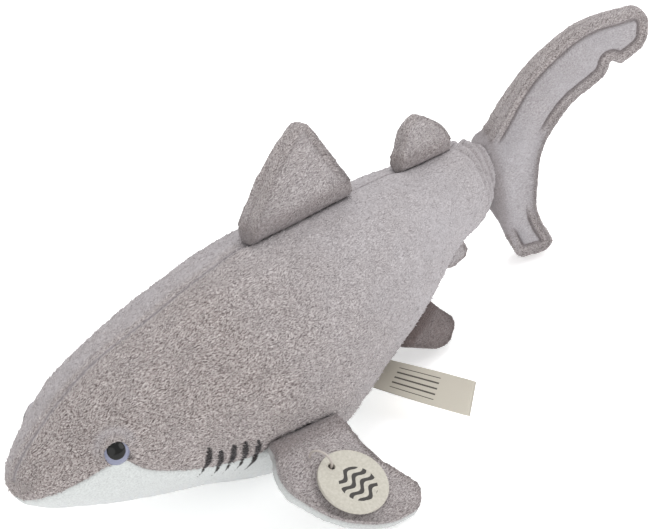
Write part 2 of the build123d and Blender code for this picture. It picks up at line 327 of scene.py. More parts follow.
def gloss(name, colour, roughness=0.08, ior=1.49, coat=0.4):
    """Moulded acrylic or ABS at a low roughness, with a deep colour and sharp highlights. At a
    high one it is the matt plastic of a washer, or of a polyester thread."""
    material, tree, shader = new_material(name)
    place = node(tree, "ShaderNodeTexCoord").outputs["Object"]
    flow = node(tree, "ShaderNodeTexNoise", {"Vector": place, "Scale": 260, "Detail": 2})
    soft = node(
        tree, "ShaderNodeMapRange",
        {"Value": flow.outputs["Fac"], "To Min": roughness * 0.7, "To Max": roughness * 1.5},
    )
    tree.links.new(soft.outputs[0], shader.inputs["Roughness"])
    shader.inputs["Base Color"].default_value = linear(colour)
    shader.inputs["IOR"].default_value = ior
    shader.inputs["Coat Weight"].default_value = coat
    shader.inputs["Coat Roughness"].default_value = 0.05
    return material


# ---------------------------------------------------------------- pile


WISP_RADIUS, WISP_LENGTH, WISP_RISE = 0.3 * MM, 1.7 * MM, 0.6 * MM
WISP_STRAY = 0.4
SPARSE_SHARE = 0.02
PER_M2 = 1e6


def tuft():
    """One tapering wisp of pile, with its foot a little under the surface it stands on."""
    bm = bmesh.new()
    bmesh.ops.create_cone(
        bm, cap_ends=True, segments=3, radius1=WISP_RADIUS, radius2=0, depth=WISP_LENGTH,
        matrix=Matrix.Translation((0, 0, WISP_RISE)),
    )
    wisp = piece_from(bm, "wisp")
    wisp.hide_render = True
    return wisp


def pile_nodes(name, wisp, flow, per_mm2, lift, size, seed):
    """Geometry nodes that stand leaning wisps on a surface, denser where it is rough. They
    lean along flow, stand up by lift, and are longer or shorter round size."""
    tree = bpy.data.node_groups.new(name, "GeometryNodeTree")
    tree.interface.new_socket("Geometry", in_out="INPUT", socket_type="NodeSocketGeometry")
    tree.interface.new_socket("Geometry", in_out="OUTPUT", socket_type="NodeSocketGeometry")
    surface = node(tree, "NodeGroupInput").outputs[0]
    rough = node(tree, "GeometryNodeInputNamedAttribute", {"Name": "rough"}, data_type="FLOAT")
    densest = per_mm2 * PER_M2
    dense = node(
        tree, "ShaderNodeMapRange",
        {"Value": rough.outputs[0], "To Min": SPARSE_SHARE * densest, "To Max": densest},
    )
    spots = node(
        tree, "GeometryNodeDistributePointsOnFaces",
        {"Mesh": surface, "Density": dense.outputs[0], "Seed": seed},
    )
    normal = spots.outputs["Normal"]
    facing = node(tree, "ShaderNodeVectorMath", {0: normal, 1: flow}, operation="DOT_PRODUCT")
    along = node(
        tree, "ShaderNodeVectorMath", {0: normal, "Scale": facing.outputs["Value"]},
        operation="SCALE",
    )
    lying = node(tree, "ShaderNodeVectorMath", {0: flow, 1: along.outputs[0]}, operation="SUBTRACT")
    stray = node(
        tree, "FunctionNodeRandomValue",
        {0: (-WISP_STRAY,) * 3, 1: (WISP_STRAY,) * 3, "Seed": seed + 1},
        data_type="FLOAT_VECTOR",
    )
    strayed = node(tree, "ShaderNodeVectorMath", {0: lying.outputs[0], 1: stray.outputs[0]})
    leaning = node(
        tree, "ShaderNodeVectorMath", {0: normal, 1: (lift,) * 3, 2: strayed.outputs[0]},
        operation="MULTIPLY_ADD",
    )
    turn = node(
        tree, "FunctionNodeAlignRotationToVector", {"Vector": leaning.outputs[0]}, axis="Z"
    )
    scale = node(
        tree, "FunctionNodeRandomValue", {2: 0.7 * size, 3: 1.2 * size, "Seed": seed + 2},
        data_type="FLOAT",
    )
    model = node(tree, "GeometryNodeObjectInfo", {"Object": wisp})
    stood = node(
        tree, "GeometryNodeInstanceOnPoints",
        {
            "Points": spots.outputs["Points"], "Instance": model.outputs["Geometry"],
            "Rotation": turn.outputs[0], "Scale": scale.outputs[1],
        },
    )
    real = node(tree, "GeometryNodeRealizeInstances", {0: stood.outputs[0]})
    node(tree, "NodeGroupOutput", {0: real.outputs[0]})
    return tree


WITH_PILE = []


def pile_on(cover, flow, tips, per_mm2=0.5, lift=0.4, size=1.0):
    """A piece of pile wisps with light tips that stand on a grey cover. Their material is paler
    than the cover's: pile tips are lighter, and it is lightened further as painted light against
    the shade that the wisps cast on one another.
    """
    seed = 11 * len(WITH_PILE)
    WITH_PILE.append(cover.name)
    tree = pile_nodes(cover.name + "_pile", SCENE.objects["wisp"], flow, per_mm2, lift, size, seed)
    carrier = collect(bpy.data.objects.new("carrier", cover.data.copy()))
    bm = finished(carrier, "NODES", node_group=tree)
    piece = piece_from(bm, cover.name.replace("_cover", "") + "_pile", tips)
    return piece


# ---------------------------------------------------------------- the body


BACK_STEPS, BELLY_STEPS, RINGS = 60, 32, 220
AROUND = 2 * (BACK_STEPS + BELLY_STEPS)
LEFT, BELLY, RIGHT = 0, 1, 2
NOSE_REACH, STOCK_REACH = 24 * MM, 11 * MM
NOSE_ARC, STOCK_ARC = 34 * MM, 16 * MM
RAY_START = 0.4
TURNED_IN_MM = 2


class Skin:
    """The outside of the CAD body's panels, found by rays from outside."""

    def __init__(self, *names):
        points, faces, self.owner = [], [], []
        for name in names:
            mesh = frame["nodes"][name].data
            first = len(points)
            points += [v.co.copy() for v in mesh.vertices]
            faces += [[first + i for i in p.vertices] for p in mesh.polygons]
            self.owner += [name] * len(mesh.polygons)
        self.tree = BVHTree.FromPolygons(points, faces)

    def at(self, centre, outward):
        """The outermost point in a direction, and the panel that it is on."""
        hit, _, index, _ = self.tree.ray_cast(centre + outward * RAY_START, -outward)
        return (hit, self.owner[index]) if hit else (None, None)


skin = Skin("back_panel_left", "back_panel_right", "belly_panel")
body_low = Vector(map(min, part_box("back_panel_left")[0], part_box("belly_panel")[0]))
body_high = Vector(map(max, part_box("back_panel_left")[1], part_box("belly_panel")[1]))


def nose_seam_height():
    """Where the belly seam crosses the nose's middle."""
    heights = [z * MM for z in range(4, 70)]
    owners = [skin.at(Vector((0, 0, z)), Vector((-1, 0, 0)))[1] for z in heights]
    belly = [z for z, owner in zip(heights, owners) if owner == "belly_panel"]
    return max(belly) if belly else 0.03


SEAM_AT_NOSE = nose_seam_height()


def mid_height(x):
    """Half way between the body's belly and its ridge, at a place along it."""
    top, _ = skin.at(Vector((x, 0.0002, 0.05)), Vector((0, 0, 1)))
    under, _ = skin.at(Vector((x, 0.0002, 0.05)), Vector((0, 0, -1)))
    return (top.z + under.z) / 2 if top and under else 0.04


def ring_rays(share):
    """Centre and tilt of the rays of a ring, from 0 at the nose to 1 at the stock's end."""
    straight = body_high.x - body_low.x - NOSE_REACH - STOCK_REACH
    along = share * (NOSE_ARC + straight + STOCK_ARC)
    first, last = body_low.x + NOSE_REACH, body_high.x - STOCK_REACH
    if along < NOSE_ARC:
        x, tilt = first, 90 * along / NOSE_ARC
    elif along < NOSE_ARC + straight:
        x, tilt = first + along - NOSE_ARC, 90
    else:
        x, tilt = last, 90 + 90 * (along - NOSE_ARC - straight) / STOCK_ARC
    rise = smoothstep(first, first + 0.07, x)
    z = SEAM_AT_NOSE * (1 - rise) + mid_height(x) * rise
    return Vector((x, 0, z)), math.radians(tilt)


def ray_out(tilt, turn):
    """Direction of a ray: turn is 0 at the ridge and a quarter turn at the left side."""
    return Vector(
        (-math.cos(tilt), -math.sin(turn) * math.sin(tilt), math.cos(turn) * math.sin(tilt))
    )


def seam_turns():
    """The turn at which the belly seam lies, ring by ring, smoothed along the body."""
    found = []
    for ring in range(RINGS + 1):
        centre, tilt = ring_rays(ring / RINGS)
        turn = None
        if 4 < ring < RINGS - 3:
            for degrees in range(40, 176):
                angle = math.radians(degrees)
                if skin.at(centre, ray_out(tilt, angle))[1] == "belly_panel":
                    turn = angle
                    break
        found.append(turn)
    known = [(ring, turn) for ring, turn in enumerate(found) if turn]
    for ring, turn in enumerate(found):
        if turn is None:
            found[ring] = min(known, key=lambda pair: abs(pair[0] - ring))[1]
    for _ in range(6):
        found = [
            (found[max(i - 1, 0)] + 2 * turn + found[min(i + 1, RINGS)]) / 4
            for i, turn in enumerate(found)
        ]
    return found


def bunch(share, amount=0.55):
    """Shares set closer together near both ends, so that seams get fine mesh."""
    return share - amount * math.sin(2 * math.pi * share) / (2 * math.pi)


def turn_of(step, seam):
    """The turn of a meridian, which keeps the ridge and both belly seams on edges."""
    if step <= BACK_STEPS:
        return bunch(step / BACK_STEPS) * seam
    if step >= AROUND - BACK_STEPS:
        return -bunch((AROUND - step) / BACK_STEPS) * seam
    share = (step - BACK_STEPS) / (2 * BELLY_STEPS)
    return seam + bunch(share) * (2 * math.pi - 2 * seam)


def body_blank():
    """A sphere whose meridians are drawn onto the skin, relaxed and subdivided once."""
    seams = seam_turns()
    bm = bmesh.new()
    bmesh.ops.create_uvsphere(bm, u_segments=AROUND, v_segments=RINGS, radius=1)
    rays = [ring_rays(ring / RINGS) for ring in range(RINGS + 1)]
    steps = {}
    for v in bm.verts:
        ring = round(math.acos(min(max(v.co.z, -1), 1)) / math.pi * RINGS)
        step = round(math.atan2(v.co.y, v.co.x) / (2 * math.pi) * AROUND) % AROUND
        centre, tilt = rays[ring]
        hit, _ = skin.at(centre, ray_out(tilt, turn_of(step, seams[ring])))
        steps[v] = step if 0 < ring < RINGS else None
        v.co = hit if hit else centre
    for face in bm.faces:
        around = [steps[v] for v in face.verts if steps[v] is not None]
        if max(around) - min(around) > AROUND / 2:
            around = [s if s else AROUND for s in around]
        middle = sum(around) / len(around)
        left, right = middle < BACK_STEPS, middle > AROUND - BACK_STEPS
        face.material_index = LEFT if left else RIGHT if right else BELLY
    relax(bm, 5)
    bmesh.ops.recalc_face_normals(bm, faces=bm.faces)
    blank = piece_from(bm, "body_blank")
    return finished(blank, "SUBSURF", levels=1, render_levels=1)


EYE_HEIGHT = 4 * MM
EYE_TILT = 0.22


def eye_place():
    """Centre of the left eye on the skin and its outward direction, turned up a little."""
    low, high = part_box("eye_washer_left")
    washer = (low + high) / 2
    outer = [v.co for v in frame["nodes"]["eye_left"].data.vertices if v.co.y < washer.y]
    top = max(outer, key=lambda p: (p - washer).length)
    outward = (top - washer).normalized()
    raised = (outward + Vector((0, 0, EYE_TILT))).normalized()
    return top - outward * EYE_HEIGHT, raised


# Each gill mark runs from its top to its hooked lower end, on the left side, in mm.
GILLS = [
    ((-64, -38.5, 52), (-62.5, -37.5, 45), (-68, -31.5, 38)),
    ((-59, -39, 48), (-57.5, -37.5, 41), (-61, -32, 34)),
    ((-53, -40.5, 47.5), (-52, -38.5, 41), (-56.5, -33, 32)),
    ((-48, -42, 46), (-46.5, -39, 38), (-51, -34, 30)),
    ((-42, -42.5, 43.5), (-41, -41, 34), (-47, -33, 26.5)),
]
GILL_STEPS = 24
GILL_HALF_MM = 1.6


def gill_points():
    """Points along every gill mark on the skin, with the mark's half width there."""
    points = []
    for gill in GILLS:
        a, b, c = (Vector(p) * MM for p in gill)
        for i in range(GILL_STEPS + 1):
            share = i / GILL_STEPS
            on_line = a.lerp(b, share).lerp(b.lerp(c, share), share)
            half = GILL_HALF_MM * smoothstep(-0.1, 0.18, share)
            half *= 1 - 0.85 * smoothstep(0.4, 1, share)
            points.append((skin.tree.find_nearest(on_line)[0], half * MM))
    return points


STITCH, FOLD = 3.2 * MM, 6 * MM
LID_MM, DIMPLE_MM, HALO_MM = 5.6, 2.6, 7.5
FOLD_HEIGHT_MM = 1.15
STOCK_NARROWING = 0.36


def tree_of(points):
    """A tree that finds the nearest of some points."""
    tree = KDTree(len(points))
    for i, point in enumerate(points):
        tree.insert(point, i)
    tree.balance()
    return tree


def shape_body(bm):
    """Presses seams, folds and dents into the body, and stores its ink, shade and nap."""
    bm.normal_update()
    seam_points = {}
    for edge in bm.edges:
        kinds = {face.material_index for face in edge.link_faces}
        if len(kinds) > 1:
            for v in edge.verts:
                seam_points[v] = v.co.copy()
    tree = tree_of(seam_points.values())
    gills = gill_points()
    marks = tree_of([point for point, _ in gills])
    eye, _ = eye_place()
    ink = bm.verts.layers.float.new("ink")
    shade = bm.verts.layers.float.new("shade")
    rough = bm.verts.layers.float.new("rough")
    places = [(v, v.co.copy(), v.normal.copy()) for v in bm.verts]
    stock = body_high.x
    for v, co, normal in places:
        # The seams, with their stitches, and the soft unevenness of the stuffing.
        _, _, away = tree.find(co)
        ridge = abs(co.y) < 4 * MM and normal.z > 0.3
        stitch = 0.7 + 0.3 * math.sin(2 * math.pi * co.x / STITCH)
        depth = (0.45 if ridge else 0.5) * stitch
        push = -depth * bump_at(away, 0.7 * MM) + 0.2 * bump_at(away - 3 * MM, 1.8 * MM)
        push += 0.6 * noise.noise(co * 38)
        push += 0.25 * noise.noise(Vector((co.x * 150, co.y * 300, co.z * 300)))
        # The lid of pile that the eye is pulled into.
        side = Vector((co.x, -abs(co.y), co.z))
        from_eye = side - eye
        near_eye = from_eye.length
        above = from_eye.z / (near_eye + 0.1 * MM)
        lid = (0.9 + 1.2 * smoothstep(0.1, 0.9, above)) * (1 if co.y < 0 else 0.8)
        push += lid * bump_at(near_eye - (LID_MM - 1.6 * max(above, 0)) * MM, 1.5 * MM)
        push -= 0.8 * bump_at(near_eye, DIMPLE_MM * MM)
        # The narrow stock, gathered into folds.
        narrow = smoothstep(stock - 26 * MM, stock - 2 * MM, co.x)
        end = smoothstep(stock - 28 * MM, stock - 8 * MM, co.x)
        end *= 0.85 + 0.6 * noise.noise(co * 40 + Vector((7, 0, 0)))
        wander = 4 * MM * noise.noise(co * 55 + Vector((0, 3, 0)))
        fold = math.cos(2 * math.pi * (co.x + wander) / FOLD)
        push += end * FOLD_HEIGHT_MM * fold
        v.co = co + normal * push * MM
        v.co.y *= 1 - STOCK_NARROWING * narrow
        # The gill marks' ink, the painted shade in seams and folds, and the nap, which is brushed
        # flat round the eyes and towards the tail, and smoother beyond the ridge.
        _, index, gap = marks.find(side)
        half = gills[index][1]
        v[ink] = min(max(1.25 - gap / half * 0.8, 0), 1) if gap < 2.5 * half else 0
        halo = bump_at(near_eye - HALO_MM * MM, 2.2 * MM) * smoothstep(-0.4, 0.5, above)
        # Painted shade: darker along the seams, most at the ridge, and in the valleys of the folds;
        # the stock is also darkened where it narrows.
        v[shade] = (0.5 if ridge else 0.12) * bump_at(away, 0.6 * MM)
        v[shade] += 0.25 * narrow * (0.5 + noise.noise(co * 60)) - 0.4 * end * min(fold, 0)
        to_rear = smoothstep(-60 * MM, 90 * MM, co.x)
        nap = 1.0 - 0.78 * to_rear - 0.6 * halo
        # Beyond the ridge, on faces that turn up, the nap is smoother, so it is paler and has fewer
        # wisps: partly a flatter nap on the right panel, partly painted sheen along the silhouette.
        nap -= 0.55 * smoothstep(0, 7 * MM, co.y) * (1 - to_rear) * smoothstep(0, 0.5, normal.z)
        if ridge:
            nap *= 1 - 0.9 * bump_at(away, 0.9 * MM)
        v[rough] = min(max(nap, 0), 1)
        v.co.z = max(v.co.z, 0)
    bm.normal_update()


def turn_in(bm, depth_mm):
    """Turns the raw edge of an open panel inwards, and gives the new faces."""
    inward = {v: -v.normal for v in bm.verts}
    rim = [edge for edge in bm.edges if edge.is_boundary]
    made = bmesh.ops.extrude_edge_only(bm, edges=rim)["geom"]
    for v in made:
        if isinstance(v, bmesh.types.BMVert):
            near = [e.other_vert(v) for e in v.link_edges if e.other_vert(v) in inward]
            v.co += (inward[near[0]] if near else Vector()) * depth_mm * MM
    return [face for face in made if isinstance(face, bmesh.types.BMFace)]


def part_of(bm, kind, name, material):
    """One panel of the body, with its raw edge turned in along the seams."""
    panel = bm.copy()
    others = [face for face in panel.faces if face.material_index != kind]
    bmesh.ops.delete(panel, geom=others, context="FACES")
    for face in panel.faces:
        face.material_index = 0
    bmesh.ops.recalc_face_normals(panel, faces=turn_in(panel, TURNED_IN_MM))
    return piece_from(panel, name, material)


def make_body(grey, white, tips):
    """Two grey back covers with their pile, and the white belly cover."""
    bm = body_blank()
    shape_body(bm)
    for kind, name, material, slot, nodes in (
        (LEFT, "back_cover_left", grey, "grey_plush", ["back_panel_left"]),
        (RIGHT, "back_cover_right", grey, "grey_plush", ["back_panel_right"]),
        (BELLY, "belly_cover", white, "white_plush", ["belly_panel", "body_stuffing"]),
    ):
        piece = part_of(bm, kind, name, material)
        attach(piece, "body")
        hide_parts(*nodes)
        if kind != BELLY:
            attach(pile_on(piece, (0.9, 0, -0.25), tips), "body")
    bm.free()


# ---------------------------------------------------------------- the fins


FIN_STITCH = 3 * MM
FIN_TURNED_IN_MM = 1.2
SEAM_ABOVE_MM = 0.6
ROOT_SHADE = 0.4
PILE_PER_MM2, PILE_LIFT, PILE_SIZE = 0.7, 0.35, 0.62


def fin_plane(joint, *nodes):
    """Matrix of a fin: X along its root, Y out from the root, Z through its thickness."""
    origin = Vector(JOINTS[joint]["pos_m"])
    x_axis = Vector(JOINTS[joint]["axis"]).normalized()
    points = [v.co for name in nodes for v in frame["nodes"][name].data.vertices]
    middle = sum(points, Vector()) / len(points) - origin
    y_axis = (middle - x_axis * middle.dot(x_axis)).normalized()
    z_axis = x_axis.cross(y_axis)
    turned = Matrix((x_axis, y_axis, z_axis)).transposed().to_4x4()
    return Matrix.Translation(origin) @ turned


def fin_blank(name, nodes, voxel_mm):
    """One closed form round a fin's panels and stuffing, in even small faces."""
    blank = piece_from(cad_copy(*nodes), name)
    bm = finished(blank, "REMESH", mode="VOXEL", voxel_size=voxel_mm * MM)
    keep_largest(bm)
    return bm


def keep_largest(bm):
    """Deletes every island of faces but the one with the most vertices."""
    unseen, islands = set(bm.verts), []
    while unseen:
        island, todo = set(), [unseen.pop()]
        while todo:
            v = todo.pop()
            island.add(v)
            for edge in v.link_edges:
                other = edge.other_vert(v)
                if other in unseen:
                    unseen.discard(other)
                    todo.append(other)
        islands.append(island)
    islands.sort(key=len)
    spare = [v for island in islands[:-1] for v in island]
    bmesh.ops.delete(bm, geom=spare, context="VERTS")


def shape_fin(bm, plane, radii, height_mm, thin=7.0, rim_mm=0.9, channel=0.0,
              channel_depth=0.8, rough_in=0.4, rough_rim=0.8, flare=0.0, tint=0.0, plain=None,
              taper=0.0, soften=6):
    """Thins the fin towards its sewn rim, then adds the rim's seam, a stitched channel inside
    it if there is one, dents, nap and painted shade. All lengths are in mm.

    radii: half thickness at root and tip. thin: how far in from the rim it thins. rim_mm: half
    thickness at the rim. channel: how far in the channel lies. rough_in, rough_rim: nap inside
    and at the rim. flare: extra share of thickness at the root. tint: painted shade over
    the whole fin. plain: a place in the fin's plane, with its radius, where the channel stops.
    taper: the share of its width that the fin loses from root to tip. soften: how often its outline
    is relaxed."""
    relax(bm, soften)
    bm.normal_update()
    flat = plane.inverted()
    z_axis = plane.to_3x3().col[2]
    shade = bm.verts.layers.float.new("shade")
    rough = bm.verts.layers.float.new("rough")
    bm.verts.layers.float.new("ink")
    for v in bm.verts:
        p = flat @ v.co
        p.x *= 1 - taper * smoothstep(0, height_mm * MM, p.y)
        v.co = plane @ p
    local = {v: flat @ v.co for v in bm.verts}
    rim = [
        local[v] for v in bm.verts
        if abs(v.normal.dot(z_axis)) < 0.4 and local[v].y > 1 * MM
    ]
    tree = tree_of([Vector((p.x, p.y, 0)) for p in rim])
    deep = {}
    for v, p in local.items():
        _, _, inside = tree.find(Vector((p.x, p.y, 0)))
        deep[v] = inside
        mm = inside / MM
        share = min(max(p.y / (height_mm * MM), 0), 1)
        half = radii[0] + (radii[1] - radii[0]) * share
        edge = max(half * half - max(half - mm, 0) ** 2, 0.01) ** 0.5
        wanted = rim_mm + (half - rim_mm) * (1 - math.exp(-mm / thin))
        at_root = 1 - smoothstep(-2 * MM, 7 * MM, p.y)
        factor = min(wanted / edge, 1)
        factor += (1 - factor) * at_root * 0.5
        factor *= 1 + flare * (1 - smoothstep(2 * MM, 26 * MM, p.y))
        v.co = plane @ Vector((p.x, p.y, p.z * factor))
    relax(bm, 2)
    bm.normal_update()
    places = [(v, v.co.copy(), v.normal.copy()) for v in bm.verts]
    for v, co, normal in places:
        p, inside = flat @ co, deep[v]
        stitch = 0.75 + 0.25 * math.sin(2 * math.pi * (p.x + p.y) / FIN_STITCH)
        push = -0.45 * stitch * bump_at(p.z, 0.6 * MM) * bump_at(inside, 2.5 * MM)
        push += 0.45 * noise.noise(co * 60)
        push += 0.2 * noise.noise(Vector((co.x * 180, co.y * 320, co.z * 320)))
        # Painted shade: darker along the rim's seam and, below, in the channel's stitched groove.
        dark = 0.25 * bump_at(p.z, 0.5 * MM) * bump_at(inside, 2 * MM)
        outside = 0
        if channel:
            run = smoothstep(2 * MM, 7 * MM, p.y)
            if plain:
                bare = Vector((p.x - plain[0] * MM, p.y - plain[1] * MM)).length
                run *= smoothstep(0.6 * plain[2] * MM, plain[2] * MM, bare)
            line = bump_at(inside - channel * MM, 0.6 * MM) * run
            push -= channel_depth * line
            dark += 0.8 * channel_depth * line
            outside = (1 - smoothstep(channel * MM - 0.8 * MM, channel * MM, inside)) * run
            push += 0.5 * channel_depth * outside
        # Painted shade at the root, where the fin meets the body, and a further even painted shade
        # over the whole fin.
        root = 1 - smoothstep(0, 6 * MM, p.y)
        dark += ROOT_SHADE * root + tint
        v.co = co + normal * push * MM
        v[shade] = min(max(dark, 0), 1)
        v[rough] = rough_in + (rough_rim - rough_in) * max(outside, bump_at(inside, 1.5 * MM))
    bm.normal_update()


def mirrored(bm):
    """The same form on the other side."""
    copy = bm.copy()
    bmesh.ops.scale(copy, vec=(1, -1, 1), verts=copy.verts)
    bmesh.ops.reverse_faces(copy, faces=copy.faces)
    return copy


def fit_fin(piece, nodes, out, tips):
    """Hides a fin's CAD nodes, bakes its cover's place into its mesh, and gives it pile if it is
    grey.
    """
    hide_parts(*nodes)
    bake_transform(piece)
    if tips:
        flow = tuple((out + Vector((0.7, 0, 0))).normalized())
        pile = pile_on(piece, flow, tips, PILE_PER_MM2, PILE_LIFT, PILE_SIZE)
        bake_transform(pile)


def make_middle_fin(name, joint, grey, tips, voxel_mm, end_mm=9.0, **shape):
    """A grey fin that stands on the ridge, the belly or the stock's end."""
    nodes = [f"{name}_panel_left", f"{name}_panel_right", f"{name}_stuffing"]
    plane = fin_plane(joint, *nodes)
    bm = fin_blank(name + "_blank", nodes, voxel_mm)
    shape_fin(bm, plane, **shape)
    piece = piece_from(bm, name + "_fin_cover", grey)
    origin, out = plane.translation, plane.to_3x3().col[1]
    fit_fin(piece, nodes, out, tips)


def make_side_fin(name, joint, grey, tips, white, voxel_mm, **shape):
    """A left fin and its mirror image, each a grey top and a white underside."""
    left = [f"{name}_left_{part}" for part in ("top", "under", "stuffing")]
    plane = fin_plane(joint, *left)
    z_axis = plane.to_3x3().col[2]
    low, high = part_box(left[0])
    top_side = 1 if ((low + high) / 2 - plane.translation).dot(z_axis) > 0 else -1
    bm = fin_blank(name + "_blank", left, voxel_mm)
    cut = plane.translation + z_axis * top_side * SEAM_ABOVE_MM * MM
    shape_fin(bm, plane, **shape)
    bmesh.ops.bisect_plane(
        bm, geom=bm.verts[:] + bm.edges[:] + bm.faces[:], plane_co=cut, plane_no=z_axis
    )
    for side, form in (("left", bm), ("right", mirrored(bm))):
        flip = Vector((1, -1 if side == "right" else 1, 1))
        axis, point = z_axis * flip, cut * flip
        origin, out = plane.translation * flip, plane.to_3x3().col[1] * flip
        for part, slot, material in (("top", "grey_plush", grey), ("under", "white_plush", white)):
            half = form.copy()
            kept = top_side if part == "top" else -top_side
            others = [
                face for face in half.faces
                if (face.calc_center_median() - point).dot(axis) * kept < 0
            ]
            bmesh.ops.delete(half, geom=others, context="FACES")
            turn_in(half, FIN_TURNED_IN_MM)
            bmesh.ops.recalc_face_normals(half, faces=half.faces)
            piece = piece_from(half, f"{name}_{side}_{part}_cover", material)
            nodes = [f"{name}_{side}_{part}"]
            if part == "under":
                nodes.append(f"{name}_{side}_stuffing")
            ends = tips if part == "top" else None
            fit_fin(piece, nodes, out, ends)
        form.free()


# ---------------------------------------------------------------- eyes


# Radius and height of the eye's outline, in mm, from its foot to the middle of its dome.
EYE_PROFILE = [
    (5.9, -3), (6.0, -1.6), (5.85, -0.9), (5.5, -0.2), (5.1, 0.3), (4.75, 0.62), (4.65, 0.7),
    (4.2, 1.05), (3.74, 1.3), (3.68, 1.44), (3.2, 1.75), (2.5, 2.1), (1.7, 2.38), (0.8, 2.55),
    (0, 2.6),
]
PUPIL_MM, RING_MM = 3.9, 5.7


def make_eyes(black, iris, painted_shade_edge):
    """Domed safety eyes: a black pupil in a lavender ring with a thin dark edge, which is painted
    shade where the eye sinks into the pile.
    """
    eye, outward = eye_place()
    x_axis = Vector((0, 0, 1)).cross(outward).normalized()
    y_axis = outward.cross(x_axis)
    turned = Matrix((x_axis, y_axis, outward)).transposed().to_4x4()
    for side, flip in (("left", 1), ("right", -1)):
        bm = bmesh.new()
        line = [bm.verts.new((r * MM, 0, z * MM)) for r, z in EYE_PROFILE]
        edges = [bm.edges.new(pair) for pair in zip(line, line[1:])]
        bmesh.ops.spin(
            bm, geom=line + edges, cent=(0, 0, 0), axis=(0, 0, 1), angle=2 * math.pi, steps=64,
            use_merge=True,
        )
        bmesh.ops.remove_doubles(bm, verts=bm.verts, dist=0.001 * MM)
        bmesh.ops.recalc_face_normals(bm, faces=bm.faces)
        for face in bm.faces:
            radius = face.calc_center_median().xy.length / MM
            # Faces beyond RING_MM take the dark edge: painted shade where the eye sinks into the
            # pile.
            face.material_index = 0 if radius < PUPIL_MM else 1 if radius < RING_MM else 2
        bmesh.ops.transform(bm, matrix=Matrix.Translation(eye) @ turned, verts=bm.verts)
        if flip < 0:
            bmesh.ops.scale(bm, vec=(1, -1, 1), verts=bm.verts)
            bmesh.ops.reverse_faces(bm, faces=bm.faces)
        piece = piece_from(bm, f"eye_dome_{side}", black, iris, painted_shade_edge)
        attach(piece, "body")
        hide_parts(f"eye_{side}")


# ---------------------------------------------------------------- tag and label


TAG_RADIUS, TAG_THICK = 15 * MM, 1.8 * MM
HOLE_RADIUS, HOLE_AT = 1.5 * MM, -10.5 * MM
WAVE_LENGTH, WAVE_SWING = 9 * MM, 1.1 * MM
WAVE_HALF_STEP, WAVE_HALF_LINE = 2 * MM, 0.95 * MM
PRINT_AT, PRINT_RADIUS = 2.2 * MM, 8.3 * MM


def board():
    """Uncoated grey-white card, die-cut, printed with plain wave lines in black. It is matt
    and faintly mottled, with flecks of a millimetre, coarser than real ones so that they show."""
    material, tree, shader = new_material("uncoated_board")
    plane = tag_plane()
    place = node(tree, "ShaderNodeTexCoord").outputs["Object"]
    turn = plane.inverted()
    flat = node(
        tree, "ShaderNodeMapping",
        {"Vector": place, "Rotation": turn.to_euler(), "Location": turn.translation},
    )
    parts = node(tree, "ShaderNodeSeparateXYZ", {0: flat.outputs[0]})
    x, y, z = parts.outputs
    wave = node(
        tree, "ShaderNodeMath", {0: y, 1: 2 * math.pi / WAVE_LENGTH}, operation="MULTIPLY"
    )
    wave = node(tree, "ShaderNodeMath", {0: wave.outputs[0]}, operation="SINE")
    wave = node(
        tree, "ShaderNodeMath", {0: wave.outputs[0], 1: WAVE_SWING, 2: x},
        operation="MULTIPLY_ADD",
    )
    band = node(
        tree, "ShaderNodeMath", {0: wave.outputs[0], 1: WAVE_HALF_STEP}, operation="PINGPONG"
    )
    inked = node(
        tree, "ShaderNodeMath", {0: band.outputs[0], 1: WAVE_HALF_LINE}, operation="LESS_THAN"
    )
    reach = node(
        tree, "ShaderNodeVectorMath", {0: flat.outputs[0], 1: (PRINT_AT, 0, 0)},
        operation="DISTANCE",
    )
    inside = node(
        tree, "ShaderNodeMath", {0: reach.outputs["Value"], 1: PRINT_RADIUS},
        operation="LESS_THAN",
    )
    face = node(tree, "ShaderNodeMath", {0: z, 1: 0.8 * MM}, operation="GREATER_THAN")
    printed = inked
    for other in (inside, face):
        printed = node(
            tree, "ShaderNodeMath", {0: printed.outputs[0], 1: other.outputs[0]},
            operation="MULTIPLY",
        )
    fibre = node(tree, "ShaderNodeTexNoise", {"Vector": place, "Scale": 900, "Detail": 4})
    paper = node(
        tree, "ShaderNodeValToRGB", {"Fac": fibre.outputs["Fac"]},
        [(0.35, "#aaa69b"), (0.68, "#b8b4aa")],
    )
    colour = node(
        tree, "ShaderNodeMix",
        {0: printed.outputs[0], 6: paper.outputs["Color"], 7: linear("#33302e")}, data_type="RGBA",
    )
    relief = node(
        tree, "ShaderNodeBump",
        {"Height": fibre.outputs["Fac"], "Strength": 0.3, "Distance": 0.1 * MM},
    )
    tree.links.new(colour.outputs[2], shader.inputs["Base Color"])
    tree.links.new(relief.outputs[0], shader.inputs["Normal"])
    shader.inputs["Roughness"].default_value = 0.7
    return material


def tag_plane():
    """Matrix of the tag's middle: X away from its hole, Z out of its printed face."""
    origin = Vector(JOINTS["tag_lift"]["pos_m"])
    y_axis = -Vector(JOINTS["tag_lift"]["axis"]).normalized()
    low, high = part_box("swing_tag")
    middle = (low + high) / 2
    x_axis = (middle - origin).normalized()
    z_axis = x_axis.cross(y_axis).normalized()
    y_axis = z_axis.cross(x_axis)
    turned = Matrix((x_axis, y_axis, z_axis)).transposed().to_4x4()
    return Matrix.Translation(middle) @ turned


